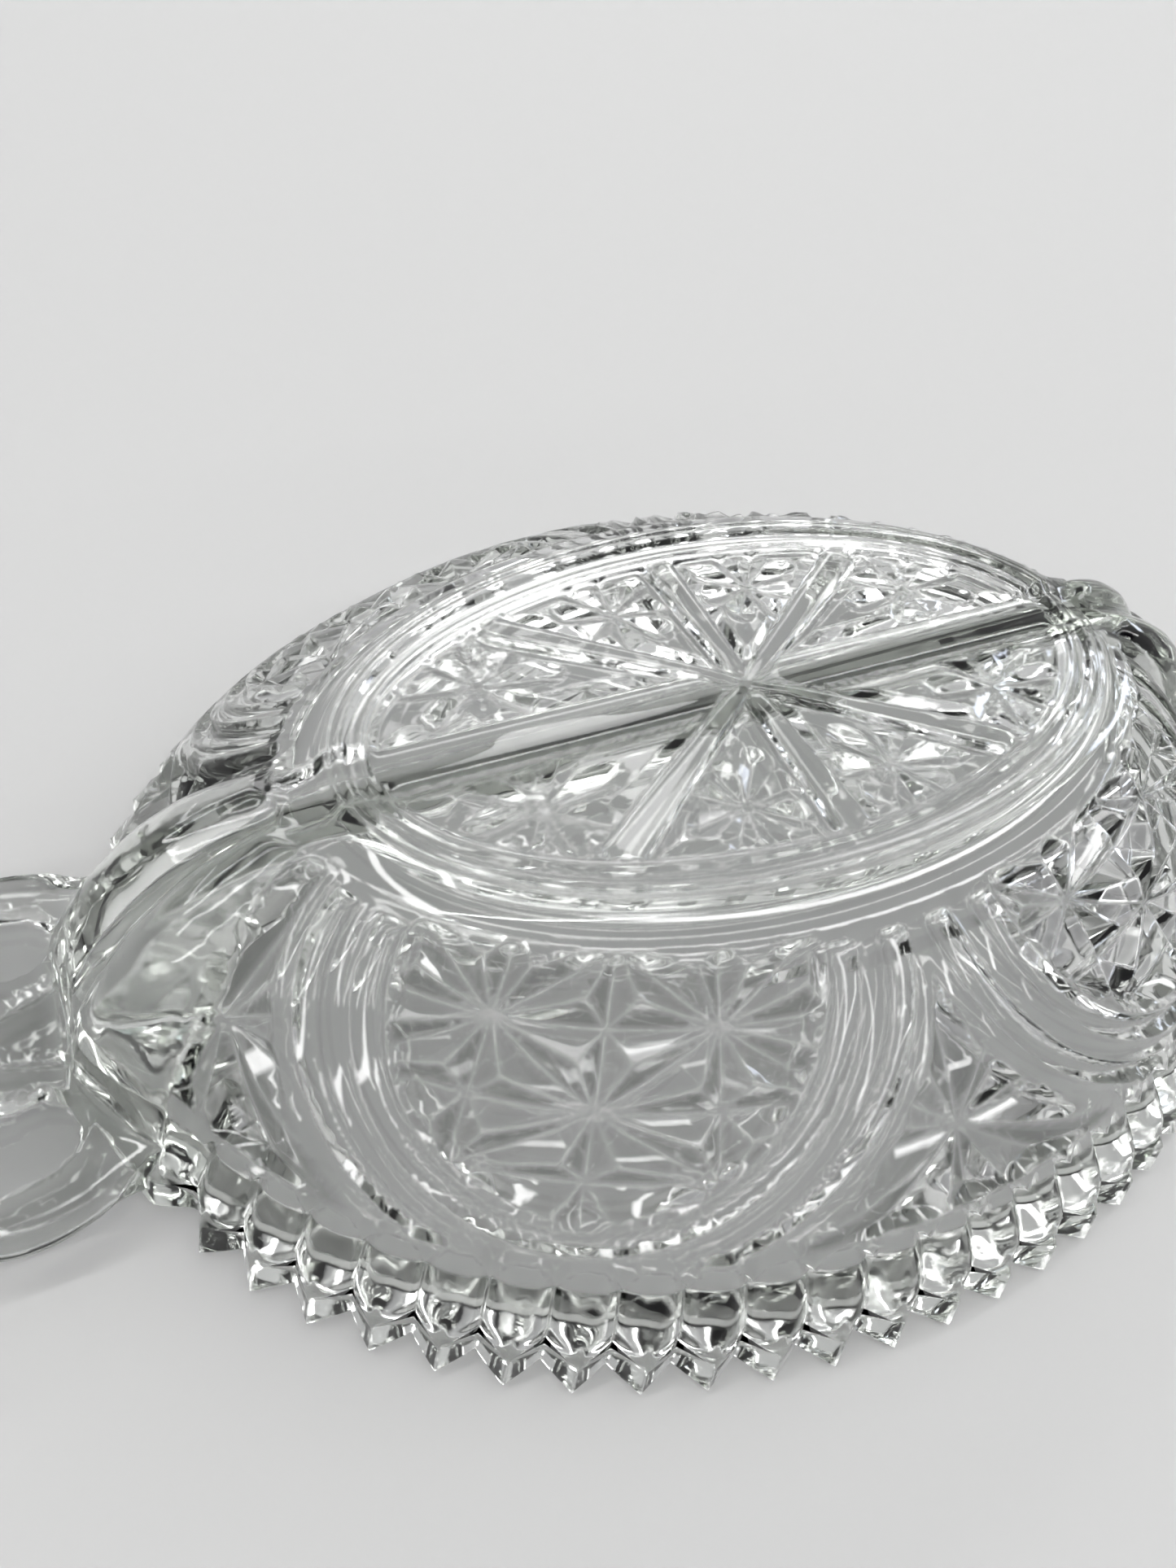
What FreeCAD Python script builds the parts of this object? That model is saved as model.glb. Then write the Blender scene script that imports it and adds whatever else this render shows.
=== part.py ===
import FreeCAD, Part
import math
import os

# Oval two-compartment relish dish in pressed clear glass, turned over: it stands on its
# saw-tooth rim and the foot ring is on top. X runs along the divider and through both
# handles, Y across the dish, and Z = 0 is the plane of the rim. All sizes are in mm.
V = FreeCAD.Vector

# --- driving dimensions -------------------------------------------------------------
RIM_HALF_LENGTH = 103.9      # rim oval, to the tips of the teeth
RIM_HALF_WIDTH = 82.5
FOOT_HALF_LENGTH = 69.3      # outer edge of the foot, where the wall ends
FOOT_HALF_WIDTH = 43.0
CREST_HALF_LENGTH = 62.8     # outer edge of the foot ring's flat crest
CREST_HALF_WIDTH = 35.6
BASE_HALF_LENGTH = 58.8      # star-cut base panel inside the foot ring
BASE_HALF_WIDTH = 31.0
WALL_TOP = 43.9              # height of the wall's end, under the foot ring
FOOT_TOP = 47.5              # crest of the foot ring
BASE_TOP = 46.3              # outer face of the base panel
FLOOR_THICKNESS = 5.1
WALL_THICKNESS = 5.2         # square to the wall
RIM_THICKNESS = 5.2          # of the plain band behind the teeth
WALL_BULGE = 0.6             # 0 is a straight wall, larger is a rounder bowl

TOOTH_PITCH = 8.7
TOOTH_DEPTH = 3.7
TOOTH_HEIGHT = 7.2           # straight part of a tooth, from the rim plane
TOOTH_LEAN = 1.3             # how far a tooth's tip leans in over that height
FLUTE_TOP = 16.5             # where the flutes above the teeth run out into the wall

DIVIDER_ROOT_THICKNESS = 6.8
DIVIDER_EDGE_THICKNESS = 4.8
DIVIDER_EDGE_Z = 9.0         # free edge of the divider, above the rim plane
TROUGH_WIDTH = 9.0           # groove in the underside, in line with the divider
TROUGH_DEPTH = 2.4

PROW_HALF_WIDTH = 25.0       # smooth swelling of the end wall above each handle
PROW_REACH = 9.0             # how far it stands out past the wall's oval at mid height
PROW_ROUNDNESS = 1.4         # half length of its level ovals as a share of PROW_HALF_WIDTH
END_PANEL_HALF_WIDTH = 31.0  # at the rim

HANDLE_LENGTH = 22.1         # past the rim oval, so the dish is 252 mm long
HANDLE_HALF_WIDTH = 29.6
HANDLE_NECK_HALF_WIDTH = 25.7
HANDLE_ROOT = 12.0           # how far the tab's blank runs into the end wall
HANDLE_BOTTOM = 4.1
HANDLE_THICKNESS = 7.4
HANDLE_EDGE_RADIUS = 2.2
HANDLE_NOTCH = 8.0           # dip between the two lobes of a handle
PETAL_HALF_WIDTH = 6.5       # pressed hollow on top of each lobe
PETAL_DEPTH = 1.6
LOBE_WIDEST = 0.4            # shares of HANDLE_LENGTH: widest place of a lobe, from the tip
LOBE_FALL = 0.7              # share of HANDLE_NOTCH: the lobe's inner shoulder, from the tip
LOBE_TIP_ACROSS = 0.73       # shares of HANDLE_HALF_WIDTH: the lobe's tip
LOBE_FALL_ACROSS = 0.25      # and its inner shoulder
PETAL_START = 0.2            # share of HANDLE_LENGTH: start of the hollow, from the rim oval
PETAL_START_ACROSS = 0.54    # shares of HANDLE_HALF_WIDTH: start of the hollow
PETAL_END_ACROSS = 0.64      # and its end
FLOOR_CORNER = 1.75          # share of WALL_THICKNESS: round corner between wall and floor

OVERRUN = 1.0                # how far a cutting tool runs past the face it cuts
TINY_VOLUME = 1.0            # a smaller scrap of a cut, in mm3, isn't a piece
ARC_STEPS = 1440             # steps of half the rim oval when the teeth are spaced along it
HALVINGS = 40                # of the wall's station when it is looked up by height
SLOPE_STEP = 0.02            # of the station, for the slope of the wall


def oval(half_length, half_width, z):
    """Closed oval wire in a level plane; it copes with a width larger than the length."""
    if half_length >= half_width:
        ellipse = Part.Ellipse(V(half_length, 0, z), V(0, half_width, z), V(0, 0, z))
    else:
        ellipse = Part.Ellipse(V(0, half_width, z), V(-half_length, 0, z), V(0, 0, z))
    return Part.Wire([ellipse.toShape()])


def oval_column(half_length, half_width, z_low, z_high):
    """Upright oval prism."""
    face = Part.Face(oval(half_length, half_width, z_low))
    return face.extrude(V(0, 0, z_high - z_low))


def wall_station(s):
    """Outer wall oval at s = 0 (rim) to 1 (foot): half length, half width, height."""
    rim_length = RIM_HALF_LENGTH - TOOTH_LEAN
    rim_width = RIM_HALF_WIDTH - TOOTH_LEAN
    height = s + WALL_BULGE * s * (1 - s)
    return (rim_length + (FOOT_HALF_LENGTH - rim_length) * s,
            rim_width + (FOOT_HALF_WIDTH - rim_width) * s,
            TOOTH_HEIGHT + (WALL_TOP - TOOTH_HEIGHT) * height)


def wall_station_at(z):
    """Outer wall oval at a height, by bisection on the station."""
    low, high = 0.0, 1.0
    for _ in range(HALVINGS):
        middle = (low + high) / 2
        if wall_station(middle)[2] < z:
            low = middle
        else:
            high = middle
    return wall_station(low)


def inner_station(s):
    """The wall oval moved in square to the wall by its thickness."""
    ahead, behind = wall_station(s + SLOPE_STEP), wall_station(s - SLOPE_STEP)
    here = wall_station(s)
    rise = ahead[2] - behind[2]
    moved = []
    drops = []
    for axis in (0, 1):
        run = behind[axis] - ahead[axis]
        slant = math.hypot(rise, run)
        moved.append(here[axis] - WALL_THICKNESS * rise / slant)
        drops.append(WALL_THICKNESS * run / slant)
    return moved[0], moved[1], here[2] - sum(drops) / 2


STATIONS = [0.0, 0.2, 0.4, 0.6, 0.8, 1.0]


def outer_body():
    """Everything inside the smooth outer surface, from the rim plane to the wall's end."""
    stations = [(RIM_HALF_LENGTH - TOOTH_LEAN / 2, RIM_HALF_WIDTH - TOOTH_LEAN / 2, 0.0)]
    stations += [wall_station(s) for s in STATIONS]
    return Part.makeLoft([oval(*station) for station in stations], True, False)


def cavity_body():
    """The hollow of the dish, running a little out through the rim plane."""
    floor_z = BASE_TOP - FLOOR_THICKNESS
    mouth = (RIM_HALF_LENGTH - TOOTH_DEPTH - RIM_THICKNESS + TOOTH_LEAN,
             RIM_HALF_WIDTH - TOOTH_DEPTH - RIM_THICKNESS + TOOTH_LEAN)
    stations = [(mouth[0], mouth[1], -OVERRUN)]
    stations += [inner_station(s) for s in STATIONS[1:-1]]
    last = inner_station(STATIONS[-1])
    inset = FLOOR_CORNER * WALL_THICKNESS
    stations.append((last[0] - inset, last[1] - inset, floor_z))
    return Part.makeLoft([oval(*station) for station in stations], True, False)


PROW_LEVELS = [(HANDLE_BOTTOM, 0.55, 1.0), (0.40 * WALL_TOP, 0.95, 1.0),
               (0.68 * WALL_TOP, 1.0, 0.85), (0.88 * WALL_TOP, 0.75, 0.62),
               (WALL_TOP, 0.2, 0.45)]      # height, share of reach, share of width


def prow_line():
    """Middle line of an end wall's swelling, from the handle up: x and z."""
    return [(wall_station_at(max(z, TOOTH_HEIGHT))[0] + reach * PROW_REACH, z)
            for z, reach, width in PROW_LEVELS]


def prow(side):
    """Smooth swelling of an end wall, from the handle's root up to the foot."""
    wires = []
    for (length, z), (_, _, width) in zip(prow_line(), PROW_LEVELS):
        half_length = PROW_ROUNDNESS * PROW_HALF_WIDTH
        wire = oval(half_length, width * PROW_HALF_WIDTH, z)
        wire.translate(V(length - half_length, 0, 0))
        wires.append(wire)
    solid = Part.makeLoft(wires, True, False)
    if side < 0:
        solid = solid.mirror(V(0, 0, 0), V(1, 0, 0))
    return solid


def end_wedge(side):
    """Wedge from the middle of the dish that bounds an end panel."""
    far = 2 * RIM_HALF_LENGTH
    rim_x = RIM_HALF_LENGTH * math.sqrt(1 - (END_PANEL_HALF_WIDTH / RIM_HALF_WIDTH) ** 2)
    half = far * END_PANEL_HALF_WIDTH / rim_x
    corners = [V(0, 0, -OVERRUN), V(side * far, half, -OVERRUN), V(side * far, -half, -OVERRUN)]
    wire = Part.makePolygon(corners + corners[:1])
    return Part.Face(wire).extrude(V(0, 0, FOOT_TOP + 2 * OVERRUN))


def trough_cut():
    """Shallow groove along the underside: straight across the base, then down each end."""
    floor_z = BASE_TOP - TROUGH_DEPTH
    line = [(x - TROUGH_DEPTH, z - TROUGH_DEPTH / 2) for x, z in reversed(prow_line())]
    line = [(x, z) for x, z in line if z < floor_z and z > HANDLE_BOTTOM + HANDLE_THICKNESS]
    last_x = line[-1][0] + TROUGH_DEPTH
    line = [(FOOT_HALF_LENGTH, floor_z)] + line + [(last_x, HANDLE_BOTTOM + HANDLE_THICKNESS)]
    far = 2 * RIM_HALF_LENGTH
    line += [(far, line[-1][1]), (far, 2 * FOOT_TOP)]
    corners = [V(x, -TROUGH_WIDTH / 2, z) for x, z in line]
    corners += [V(-x, -TROUGH_WIDTH / 2, z) for x, z in reversed(line)]
    return Part.Face(Part.makePolygon(corners + corners[:1])).extrude(V(0, TROUGH_WIDTH, 0))


def rim_points(inset, tooth_depth, z):
    """Corners of the rim outline: teeth at an even pitch along the long sides."""
    half_length, half_width = RIM_HALF_LENGTH - inset, RIM_HALF_WIDTH - inset
    arc = [0.0]
    for i in range(ARC_STEPS):
        t0, t1 = math.pi * i / ARC_STEPS, math.pi * (i + 1) / ARC_STEPS
        arc.append(arc[-1] + math.hypot(RIM_HALF_LENGTH * (math.cos(t1) - math.cos(t0)),
                                        RIM_HALF_WIDTH * (math.sin(t1) - math.sin(t0))))
    first = math.asin(END_PANEL_HALF_WIDTH / RIM_HALF_WIDTH)
    start = arc[int(ARC_STEPS * first / math.pi)]
    length = arc[-1] - 2 * start
    teeth = int(round(length / TOOTH_PITCH))
    points = []
    index = 0
    for k in range(2 * teeth + 1):
        target = start + length * k / (2 * teeth)
        while arc[index] < target and index < ARC_STEPS:
            index += 1
        t = math.pi * index / ARC_STEPS
        depth = tooth_depth if k % 2 == 0 else 0.0
        points.append(V((half_length - depth) * math.cos(t), (half_width - depth) * math.sin(t), z))
    return points


def saw_rim_ring():
    """The toothed band as one solid block, before the hollow is taken out."""
    flute_oval = wall_station_at(FLUTE_TOP)
    levels = [(0.0, TOOTH_DEPTH, 0.0), (TOOTH_LEAN, TOOTH_DEPTH, TOOTH_HEIGHT),
              (RIM_HALF_LENGTH - flute_oval[0], 0.0, FLUTE_TOP)]
    wires = []
    for inset, depth, z in levels:
        back = rim_points(inset, depth, z)
        front = [V(-p.x, -p.y, p.z) for p in back]
        corners = back + front
        wires.append(Part.makePolygon(corners + corners[:1]))
    return Part.makeLoft(wires, True, True)


def handle(side):
    """Two-lobed tab with rounded edges and a pressed hollow on each lobe."""
    tip = RIM_HALF_LENGTH + HANDLE_LENGTH
    root = RIM_HALF_LENGTH - HANDLE_ROOT
    neck_x = RIM_HALF_LENGTH
    widest_x = tip - LOBE_WIDEST * HANDLE_LENGTH
    upper = [V(root, HANDLE_HALF_WIDTH, 0), V(neck_x, HANDLE_NECK_HALF_WIDTH, 0),
             V(widest_x, HANDLE_HALF_WIDTH, 0), V(tip, LOBE_TIP_ACROSS * HANDLE_HALF_WIDTH, 0),
             V(tip - LOBE_FALL * HANDLE_NOTCH, LOBE_FALL_ACROSS * HANDLE_HALF_WIDTH, 0)]
    lower = [V(p.x, -p.y, 0) for p in reversed(upper)]
    outline = Part.BSplineCurve()
    outline.interpolate(upper + [V(tip - HANDLE_NOTCH, 0, 0)] + lower)
    back = Part.LineSegment(lower[-1], upper[0])
    wire = Part.Wire([outline.toShape(), back.toShape()])
    wire.translate(V(0, 0, HANDLE_BOTTOM))
    tab = Part.Face(wire).extrude(V(0, 0, HANDLE_THICKNESS))
    level = [edge for edge in tab.Edges if edge.BoundBox.ZLength < HANDLE_THICKNESS / 2]
    rims = [edge for edge in level if edge.BoundBox.XMax > neck_x]
    tab = tab.makeFillet(HANDLE_EDGE_RADIUS, rims)
    top = HANDLE_BOTTOM + HANDLE_THICKNESS
    for y_side in (1, -1):
        start = V(neck_x + PETAL_START * HANDLE_LENGTH,
                  y_side * PETAL_START_ACROSS * HANDLE_HALF_WIDTH, top - PETAL_DEPTH)
        end = V(widest_x, y_side * PETAL_END_ACROSS * HANDLE_HALF_WIDTH, top - PETAL_DEPTH)
        run = end - start
        slot = Part.makeBox(run.Length, 2 * PETAL_HALF_WIDTH, 2 * PETAL_DEPTH,
                            V(0, -PETAL_HALF_WIDTH, 0))
        slot.rotate(V(0, 0, 0), V(0, 0, 1), math.degrees(math.atan2(run.y, run.x)))
        slot.translate(start)
        ends = [Part.makeCylinder(PETAL_HALF_WIDTH, 2 * PETAL_DEPTH, p) for p in (start, end)]
        tab = tab.cut(slot.fuse(ends))
    if side < 0:
        tab = tab.mirror(V(0, 0, 0), V(1, 0, 0))
    return tab


def foot_ring(trough):
    """Raised oval ring with a narrow flat crest; the trough parts it into two halves."""
    outside = Part.makeLoft([oval(FOOT_HALF_LENGTH, FOOT_HALF_WIDTH, WALL_TOP),
                             oval(CREST_HALF_LENGTH, CREST_HALF_WIDTH, FOOT_TOP)], True, True)
    recess = oval_column(BASE_HALF_LENGTH, BASE_HALF_WIDTH, WALL_TOP - OVERRUN, FOOT_TOP + OVERRUN)
    return outside.cut(recess).cut(trough)


def divider(cavity):
    """Tapered wall that hangs from the floor and ends in the two end walls."""
    root, edge = DIVIDER_ROOT_THICKNESS / 2, DIVIDER_EDGE_THICKNESS / 2
    length = RIM_HALF_LENGTH
    corners = [V(-length, -root, FOOT_TOP), V(-length, root, FOOT_TOP),
               V(-length, edge, DIVIDER_EDGE_Z), V(-length, -edge, DIVIDER_EDGE_Z)]
    board = Part.Face(Part.makePolygon(corners + corners[:1])).extrude(V(2 * length, 0, 0))
    return board.common(cavity)


def quadrant(x_side, y_side):
    """A quarter of space, with one corner on the dish's middle line."""
    reach = 2 * RIM_HALF_LENGTH
    return Part.makeBox(reach, reach, 2 * FOOT_TOP,
                        V(0 if x_side > 0 else -reach, 0 if y_side > 0 else -reach, -OVERRUN))


def slab(z_low, z_high):
    """All of the dish between two heights."""
    reach = 2 * RIM_HALF_LENGTH
    return Part.makeBox(2 * reach, 2 * reach, z_high - z_low, V(-reach, -reach, z_low))


def single(shape, name):
    """The one solid of a shape; more than one means that a piece has come apart."""
    solids = [solid for solid in shape.Solids if solid.Volume > TINY_VOLUME]
    if len(solids) != 1:
        raise ValueError(name + " has " + str(len(solids)) + " solids")
    return solids[0]


smooth = outer_body()
cavity = cavity_body()
swollen = smooth.fuse([prow(1), prow(-1)]).common(slab(0, WALL_TOP))
trough = trough_cut()
wedges = {1: end_wedge(1), -1: end_wedge(-1)}
base_column = oval_column(BASE_HALF_LENGTH, BASE_HALF_WIDTH, 0, BASE_TOP)
shell = swollen.cut([cavity, base_column, trough])
side_shell = smooth.cut([cavity, base_column, wedges[1], wedges[-1]])
side_shell = side_shell.common(slab(FLUTE_TOP, WALL_TOP))
rim = saw_rim_ring().cut([cavity, wedges[1], wedges[-1]])

ring = foot_ring(trough)

nodes = {
    "base_panel": base_column.cut([cavity, trough]),
    "divider": divider(cavity),
}
for y_side, y_name in ((-1, "front"), (1, "back")):
    half = quadrant(1, y_side).fuse(quadrant(-1, y_side))
    nodes[y_name + "_foot_ring"] = ring.common(half)
    nodes[y_name + "_saw_rim"] = rim.common(half)
    for x_side, x_name in ((-1, "left"), (1, "right")):
        nodes[y_name + "_" + x_name + "_arch_panel"] = side_shell.common(quadrant(x_side, y_side))
for x_side, x_name in ((-1, "left"), (1, "right")):
    nodes[x_name + "_end_panel"] = shell.common(wedges[x_side])
    nodes[x_name + "_handle"] = handle(x_side).cut([swollen, smooth])

os.makedirs("parts", exist_ok=True)
for name, shape in nodes.items():
    solid = single(shape, name)
    solid.exportStep("parts/" + name + ".step")
    print(name, round(solid.Volume / 1000, 2), "cm3", solid.isValid())
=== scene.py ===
import math
import bmesh
import bpy
import numpy as np
from mathutils import Matrix, Vector


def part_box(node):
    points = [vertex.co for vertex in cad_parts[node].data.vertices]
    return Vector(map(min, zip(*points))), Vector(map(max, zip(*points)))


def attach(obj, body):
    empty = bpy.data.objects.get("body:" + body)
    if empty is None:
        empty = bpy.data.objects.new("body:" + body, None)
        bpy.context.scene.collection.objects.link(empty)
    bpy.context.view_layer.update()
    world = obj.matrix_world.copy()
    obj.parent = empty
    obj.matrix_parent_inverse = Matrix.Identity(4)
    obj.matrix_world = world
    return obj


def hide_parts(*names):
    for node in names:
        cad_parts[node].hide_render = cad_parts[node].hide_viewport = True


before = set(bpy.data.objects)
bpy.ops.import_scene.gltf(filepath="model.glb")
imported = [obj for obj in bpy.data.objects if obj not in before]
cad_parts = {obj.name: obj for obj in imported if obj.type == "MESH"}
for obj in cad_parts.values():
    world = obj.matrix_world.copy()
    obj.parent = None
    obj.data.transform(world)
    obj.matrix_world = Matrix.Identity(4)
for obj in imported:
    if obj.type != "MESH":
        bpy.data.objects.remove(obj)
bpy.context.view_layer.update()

# --- Studio ---------------------------------------------------------------------------------
# The dish lies upside down on a plain pale table, seen from its front left, from above.
# Soft light comes from a wide window-like panel at the back and from the room all round.

camera_data = bpy.data.cameras.new("camera")
camera_data.lens = 25.76
camera_data.clip_start = 0.01
camera = bpy.data.objects.new("camera", camera_data)
bpy.context.scene.collection.objects.link(camera)
looks_along = Vector((0.3525, 0.5786, -0.7355)).normalized()
level_right = Vector((0.854, -0.5203, 0.0)).normalized()
roll = math.radians(9.114)
level_up = level_right.cross(looks_along)
right = level_right * math.cos(roll) + level_up * math.sin(roll)
up = right.cross(looks_along)
camera.matrix_world = Matrix((
    (right.x, up.x, -looks_along.x, -0.0848),
    (right.y, up.y, -looks_along.y, -0.0985),
    (right.z, up.z, -looks_along.z, 0.1572),
    (0, 0, 0, 1)))
bpy.context.scene.camera = camera


def new_material(name, **values):
    """A Principled material with the given constants on the shader's own sockets."""
    material = bpy.data.materials.new(name)
    material.use_nodes = True
    shader = material.node_tree.nodes["Principled BSDF"]
    for socket, value in values.items():
        shader.inputs[socket.replace("_", " ")].default_value = value
    return material, material.node_tree, shader


FLOOR_SIZE = 6.0
floor_mesh = bpy.data.meshes.new("floor")
edge = FLOOR_SIZE / 2
floor_mesh.from_pydata([(-edge, -edge, 0), (edge, -edge, 0), (edge, edge, 0), (-edge, edge, 0)],
                       [], [(0, 1, 2, 3)])
floor = bpy.data.objects.new("floor", floor_mesh)
bpy.context.scene.collection.objects.link(floor)
floor.location.z = -0.0002
floor_material, _, _ = new_material("pale_table", Base_Color=(0.35, 0.35, 0.347, 1), Roughness=0.8)
floor_mesh.materials.append(floor_material)

bpy.context.scene.view_settings.view_transform = "Standard"
world = bpy.data.worlds.new("room")
world.use_nodes = True
bpy.context.scene.world = world
sky = world.node_tree
sky_colour = sky.nodes["Background"]
direction = sky.nodes.new("ShaderNodeTexCoord")
split = sky.nodes.new("ShaderNodeSeparateXYZ")
sky.links.new(direction.outputs["Generated"], split.inputs[0])


def sky_math(operation, *values):
    """A math node of the room's light; each value is a number or another node's output."""
    node = sky.nodes.new("ShaderNodeMath")
    node.operation = operation
    for socket, value in zip(node.inputs, values):
        if isinstance(value, (int, float)):
            socket.default_value = value
        else:
            sky.links.new(value, socket)
    return node.outputs[0]


height_above = sky_math("MAXIMUM", split.outputs["Z"], 0.02)
overhead_x = sky_math("DIVIDE", split.outputs["X"], height_above)
overhead_y = sky_math("DIVIDE", split.outputs["Y"], height_above)


def ceiling_panel(centre_x, centre_y, half_x, half_y, soft):
    """1 inside a rectangle of a ceiling one unit up, 0 outside it, with soft edges."""
    share = None
    for place, centre, half in ((overhead_x, centre_x, half_x), (overhead_y, centre_y, half_y)):
        away = sky_math("ABSOLUTE", sky_math("SUBTRACT", place, centre))
        inside = sky_math("DIVIDE", sky_math("SUBTRACT", half, away), soft)
        inside = sky_math("MINIMUM", sky_math("MAXIMUM", inside, 0.0), 1.0)
        share = inside if share is None else sky_math("MULTIPLY", share, inside)
    return share


def add_light(colour, share, panel_colour):
    """The room's colour with a panel's colour mixed in where the panel is."""
    mix = sky.nodes.new("ShaderNodeMix")
    mix.data_type = "RGBA"
    sky.links.new(share, mix.inputs["Factor"])
    sky.links.new(colour, mix.inputs[6])
    mix.inputs[7].default_value = (*panel_colour, 1)
    return mix.outputs[2]


# the wall behind the table is pale and the room in front of it is darker
back = sky_math("MULTIPLY_ADD", split.outputs["Y"], 0.5, 0.5)
front_colour = sky.nodes.new("ShaderNodeRGB").outputs[0]
front_colour.default_value = (0.38, 0.38, 0.39, 1)
room = add_light(front_colour, back, (0.66, 0.66, 0.67))
# centre and half size on the ceiling, softness of the edge, colour
PANELS = ((0.9, 1.5, 0.9, 0.25, 0.1, (7.0, 7.0, 7.0)),
          (-1.3, 1.0, 0.06, 0.9, 0.04, (8.0, 8.0, 8.0)),
          (0.1, 0.25, 1.6, 0.045, 0.02, (17.0, 17.0, 17.0)),
          (0.0, -0.35, 1.8, 0.045, 0.02, (17.0, 17.0, 17.0)),
          (0.1, -1.0, 2.2, 0.05, 0.02, (17.0, 17.0, 17.0)),
          (-0.6, -2.4, 2.6, 0.1, 0.04, (14.0, 14.0, 14.0)),
          (2.6, 0.2, 0.25, 0.8, 0.12, (9.0, 9.6, 11.0)),
          (1.7, -1.6, 0.4, 0.4, 0.15, (0.02, 0.02, 0.03)))
for centre_x, centre_y, half_x, half_y, soft, panel_colour in PANELS:
    room = add_light(room, ceiling_panel(centre_x, centre_y, half_x, half_y, soft), panel_colour)
sky.links.new(room, sky_colour.inputs["Color"])


def panel_light(name, place, aim, size, power):
    """A soft rectangular light at place that faces aim."""
    data = bpy.data.lights.new(name, "AREA")
    data.shape = "RECTANGLE"
    data.size, data.size_y = size
    data.energy = power
    light = bpy.data.objects.new(name, data)
    light.location = place
    light.rotation_mode = "QUATERNION"
    light.rotation_quaternion = (Vector(aim) - Vector(place)).to_track_quat("-Z", "Y")
    bpy.context.scene.collection.objects.link(light)


panel_light("ceiling_lamp", (0.45, 0.75, 1.1), (0, 0, 0), (0.3, 0.3), 1.6)

# --- Blank of the pressing --------------------------------------------------------------------
# The whole dish is one piece of clear glass, pressed in a mould, so it gets one closed skin.
# Lengths here are in mm until the skin is made. A column is one angle round the oval dish;
# a ring is one closed line of such columns, from the middle of the base down to the rim.

HALF_WIDTH = 1000 * -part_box("front_saw_rim")[0].y
HALF_LENGTH = 103.9
WALL_TOP = 1000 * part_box("front_foot_ring")[0].z
TEETH = 26
TOOTH_COLUMNS = 10
END_COLUMNS = 37
END_HALF_WIDTH = 31.0
HALF_COLUMNS = TEETH * TOOTH_COLUMNS + 2 * END_COLUMNS
COLUMNS = 2 * HALF_COLUMNS
TOOTH_LEAN = 1.3
TOOTH_HEIGHT = 7.26
WALL_BULGE = 0.6
FOOT_LENGTH = 69.35
FOOT_WIDTH = 43.0


def arc_table(half_length, half_width):
    """Angles from -pi to 0 and the arc length along an oval's near half up to each."""
    angle = np.linspace(-np.pi, 0, 20001)
    x, y = half_length * np.cos(angle), half_width * np.sin(angle)
    arc = np.concatenate([[0], np.cumsum(np.hypot(np.diff(x), np.diff(y)))])
    return angle, arc


def column_angles():
    """Oval angle of every column: even steps of arc along each tooth and along each plain end."""
    angle, arc = arc_table(HALF_LENGTH, HALF_WIDTH)
    end_arc = np.interp(-np.pi + math.asin(END_HALF_WIDTH / HALF_WIDTH), angle, arc)
    steps = [np.linspace(0, end_arc, END_COLUMNS + 1)[:-1],
             np.linspace(end_arc, arc[-1] - end_arc, TEETH * TOOTH_COLUMNS + 1)[:-1],
             np.linspace(arc[-1] - end_arc, arc[-1], END_COLUMNS + 1)[:-1]]
    near = np.interp(np.concatenate(steps), arc, angle)
    return np.concatenate([near, near + np.pi])


THETA = column_angles()
place_in_half = np.arange(COLUMNS) % HALF_COLUMNS
in_teeth = (place_in_half >= END_COLUMNS) & (place_in_half <= HALF_COLUMNS - END_COLUMNS)
tooth_phase = ((place_in_half - END_COLUMNS) / TOOTH_COLUMNS) % 1.0
# 0 on the tip of a tooth, 1 in the valley between two teeth
VALLEY = np.where(in_teeth, np.abs(2 * tooth_phase - 1), 1.0)


def wall_oval(s):
    """Half length, half width and height of the outer wall at s, 0 above the teeth to 1 at the foot."""
    length = HALF_LENGTH - TOOTH_LEAN
    width = HALF_WIDTH - TOOTH_LEAN
    rise = s + WALL_BULGE * s * (1 - s)
    return (length + (FOOT_LENGTH - length) * s, width + (FOOT_WIDTH - width) * s,
            TOOTH_HEIGHT + (WALL_TOP - TOOTH_HEIGHT) * rise)


def smooth_step(x):
    """0 below 0, 1 above 1 and a smooth turn between."""
    t = np.clip(x, 0, 1)
    return t * t * (3 - 2 * t)


def nearest_line(p, q, ends):
    """Step from each point (p, q) to the nearest of the straight lines given by their end points."""
    p, q = np.broadcast_arrays(p, q)
    step_p, step_q = np.full(p.shape, 1e3), np.zeros(p.shape)
    for p0, q0, p1, q1 in ends:
        dp, dq = p1 - p0, q1 - q0
        t = np.clip(((p - p0) * dp + (q - q0) * dq) / (dp * dp + dq * dq), 0, 1)
        to_p, to_q = p0 + t * dp - p, q0 + t * dq - q
        closer = np.hypot(to_p, to_q) < np.hypot(step_p, step_q)
        step_p, step_q = np.where(closer, to_p, step_p), np.where(closer, to_q, step_q)
    return step_p, step_q


def segment_distance(p, q, ends):
    """Least distance of each point (p, q) to the straight lines given by their end points."""
    return np.hypot(*nearest_line(p, q, ends))


# --- Arch panels ------------------------------------------------------------------------------
# Four arches are pressed round the wall, each a field of eight-rayed stars inside two flutes.
# The stars are sharp grooves; the glass between three grooves rises as a three-sided point.

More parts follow.
